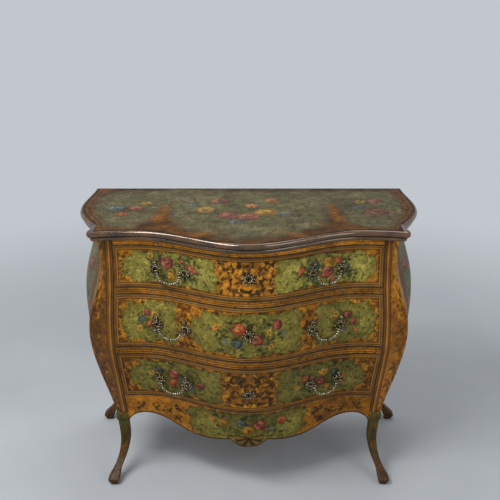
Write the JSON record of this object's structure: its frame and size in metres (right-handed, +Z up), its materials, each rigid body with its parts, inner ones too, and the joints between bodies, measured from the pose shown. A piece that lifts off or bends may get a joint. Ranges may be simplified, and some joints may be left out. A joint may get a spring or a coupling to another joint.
{
  "type": "bombe chest of drawers",
  "caption": "Painted chest of drawers with a swelling serpentine front, shaped top, brass bail pulls, keyhole locks, scalloped apron and cabriole legs.",
  "frame": {"origin": "on the floor under the middle of the top's outline", "axes": "+X across the chest, to the right as seen from the front, -Y out of the front, +Z up"},
  "size_m": [1.1018, 0.56, 0.9],
  "materials": {
    "painted_grey_green": "varnished paint, crazed",
    "painted_olive": "varnished paint with flower garlands",
    "painted_amber": "varnished paint with scroll lines",
    "plain_wood": "bare waxed wood",
    "aged_brass": "dark aged brass",
    "lock_iron": "dull black iron"
  },
  "bodies": {
    "carcass": {"apron": "painted_olive", "back_boards": "plain_wood", "bottom_board": "plain_wood", "frieze_rail": "painted_amber", "left_front_leg": "painted_amber", "left_rear_leg": "painted_amber", "left_rear_post": "plain_wood", "left_runners": "plain_wood", "left_side_panel": "painted_grey_green", "left_stile": "painted_amber", "lower_rail": "painted_amber", "right_front_leg": "painted_amber", "right_rear_leg": "painted_amber", "right_rear_post": "plain_wood", "right_runners": "plain_wood", "right_side_panel": "painted_grey_green", "right_stile": "painted_amber", "sub_top": "painted_grey_green", "top_board": "painted_grey_green", "upper_rail": "painted_amber"},
    "lower_drawer": {"lower_drawer_back": "plain_wood", "lower_drawer_bottom": "plain_wood", "lower_drawer_escutcheon": "aged_brass", "lower_drawer_front": "painted_olive", "lower_drawer_handle_nuts": "lock_iron", "lower_drawer_handle_posts": "aged_brass", "lower_drawer_left_side": "plain_wood", "lower_drawer_lock_case": "lock_iron", "lower_drawer_right_side": "plain_wood", "lower_drawer_rosettes": "aged_brass"},
    "lower_left_bail": {"lower_drawer_left_bail": "aged_brass"},
    "lower_right_bail": {"lower_drawer_right_bail": "aged_brass"},
    "lower_lock_bolt": {"lower_drawer_lock_bolt": "lock_iron"},
    "middle_drawer": {"middle_drawer_back": "plain_wood", "middle_drawer_bottom": "plain_wood", "middle_drawer_escutcheon": "aged_brass", "middle_drawer_front": "painted_olive", "middle_drawer_handle_nuts": "lock_iron", "middle_drawer_handle_posts": "aged_brass", "middle_drawer_left_side": "plain_wood", "middle_drawer_lock_case": "lock_iron", "middle_drawer_right_side": "plain_wood", "middle_drawer_rosettes": "aged_brass"},
    "middle_left_bail": {"middle_drawer_left_bail": "aged_brass"},
    "middle_right_bail": {"middle_drawer_right_bail": "aged_brass"},
    "middle_lock_bolt": {"middle_drawer_lock_bolt": "lock_iron"},
    "upper_drawer": {"upper_drawer_back": "plain_wood", "upper_drawer_bottom": "plain_wood", "upper_drawer_escutcheon": "aged_brass", "upper_drawer_front": "painted_olive", "upper_drawer_handle_nuts": "lock_iron", "upper_drawer_handle_posts": "aged_brass", "upper_drawer_left_side": "plain_wood", "upper_drawer_lock_case": "lock_iron", "upper_drawer_right_side": "plain_wood", "upper_drawer_rosettes": "aged_brass"},
    "upper_left_bail": {"upper_drawer_left_bail": "aged_brass"},
    "upper_right_bail": {"upper_drawer_right_bail": "aged_brass"},
    "upper_lock_bolt": {"upper_drawer_lock_bolt": "lock_iron"}
  },
  "joints": [
    {"name": "lower_drawer_slide", "type": "slide", "parent": "carcass", "child": "lower_drawer", "axis": [0, -1, 0], "range_m": [0, 0.36]},
    {"name": "lower_left_bail_swing", "type": "hinge", "parent": "lower_drawer", "child": "lower_left_bail", "pos_m": [-0.2463, -0.17777, 0.38616], "axis": [-0.9288, 0.3705, 0], "range_deg": [0, 90]},
    {"name": "lower_right_bail_swing", "type": "hinge", "parent": "lower_drawer", "child": "lower_right_bail", "pos_m": [0.2463, -0.17777, 0.38616], "axis": [-0.9288, -0.3705, 0], "range_deg": [0, 90]},
    {"name": "lower_lock_bolt_throw", "type": "slide", "parent": "lower_drawer", "child": "lower_lock_bolt", "axis": [0, 0, 1], "range_m": [0, 0.009]},
    {"name": "middle_drawer_slide", "type": "slide", "parent": "carcass", "child": "middle_drawer", "axis": [0, -1, 0], "range_m": [0, 0.36]},
    {"name": "middle_left_bail_swing", "type": "hinge", "parent": "middle_drawer", "child": "middle_left_bail", "pos_m": [-0.2463, -0.19603, 0.58988], "axis": [-0.9288, 0.3706, 0], "range_deg": [0, 90]},
    {"name": "middle_right_bail_swing", "type": "hinge", "parent": "middle_drawer", "child": "middle_right_bail", "pos_m": [0.2463, -0.19603, 0.58988], "axis": [-0.9288, -0.3706, 0], "range_deg": [0, 90]},
    {"name": "middle_lock_bolt_throw", "type": "slide", "parent": "middle_drawer", "child": "middle_lock_bolt", "axis": [0, 0, 1], "range_m": [0, 0.009]},
    {"name": "upper_drawer_slide", "type": "slide", "parent": "carcass", "child": "upper_drawer", "axis": [0, -1, 0], "range_m": [0, 0.36]},
    {"name": "upper_left_bail_swing", "type": "hinge", "parent": "upper_drawer", "child": "upper_left_bail", "pos_m": [-0.2463, -0.18143, 0.7721], "axis": [-0.9288, 0.3705, 0], "range_deg": [0, 90]},
    {"name": "upper_right_bail_swing", "type": "hinge", "parent": "upper_drawer", "child": "upper_right_bail", "pos_m": [0.2463, -0.18143, 0.7721], "axis": [-0.9288, -0.3705, 0], "range_deg": [0, 90]},
    {"name": "upper_lock_bolt_throw", "type": "slide", "parent": "upper_drawer", "child": "upper_lock_bolt", "axis": [0, 0, 1], "range_m": [0, 0.009]}
  ]
}
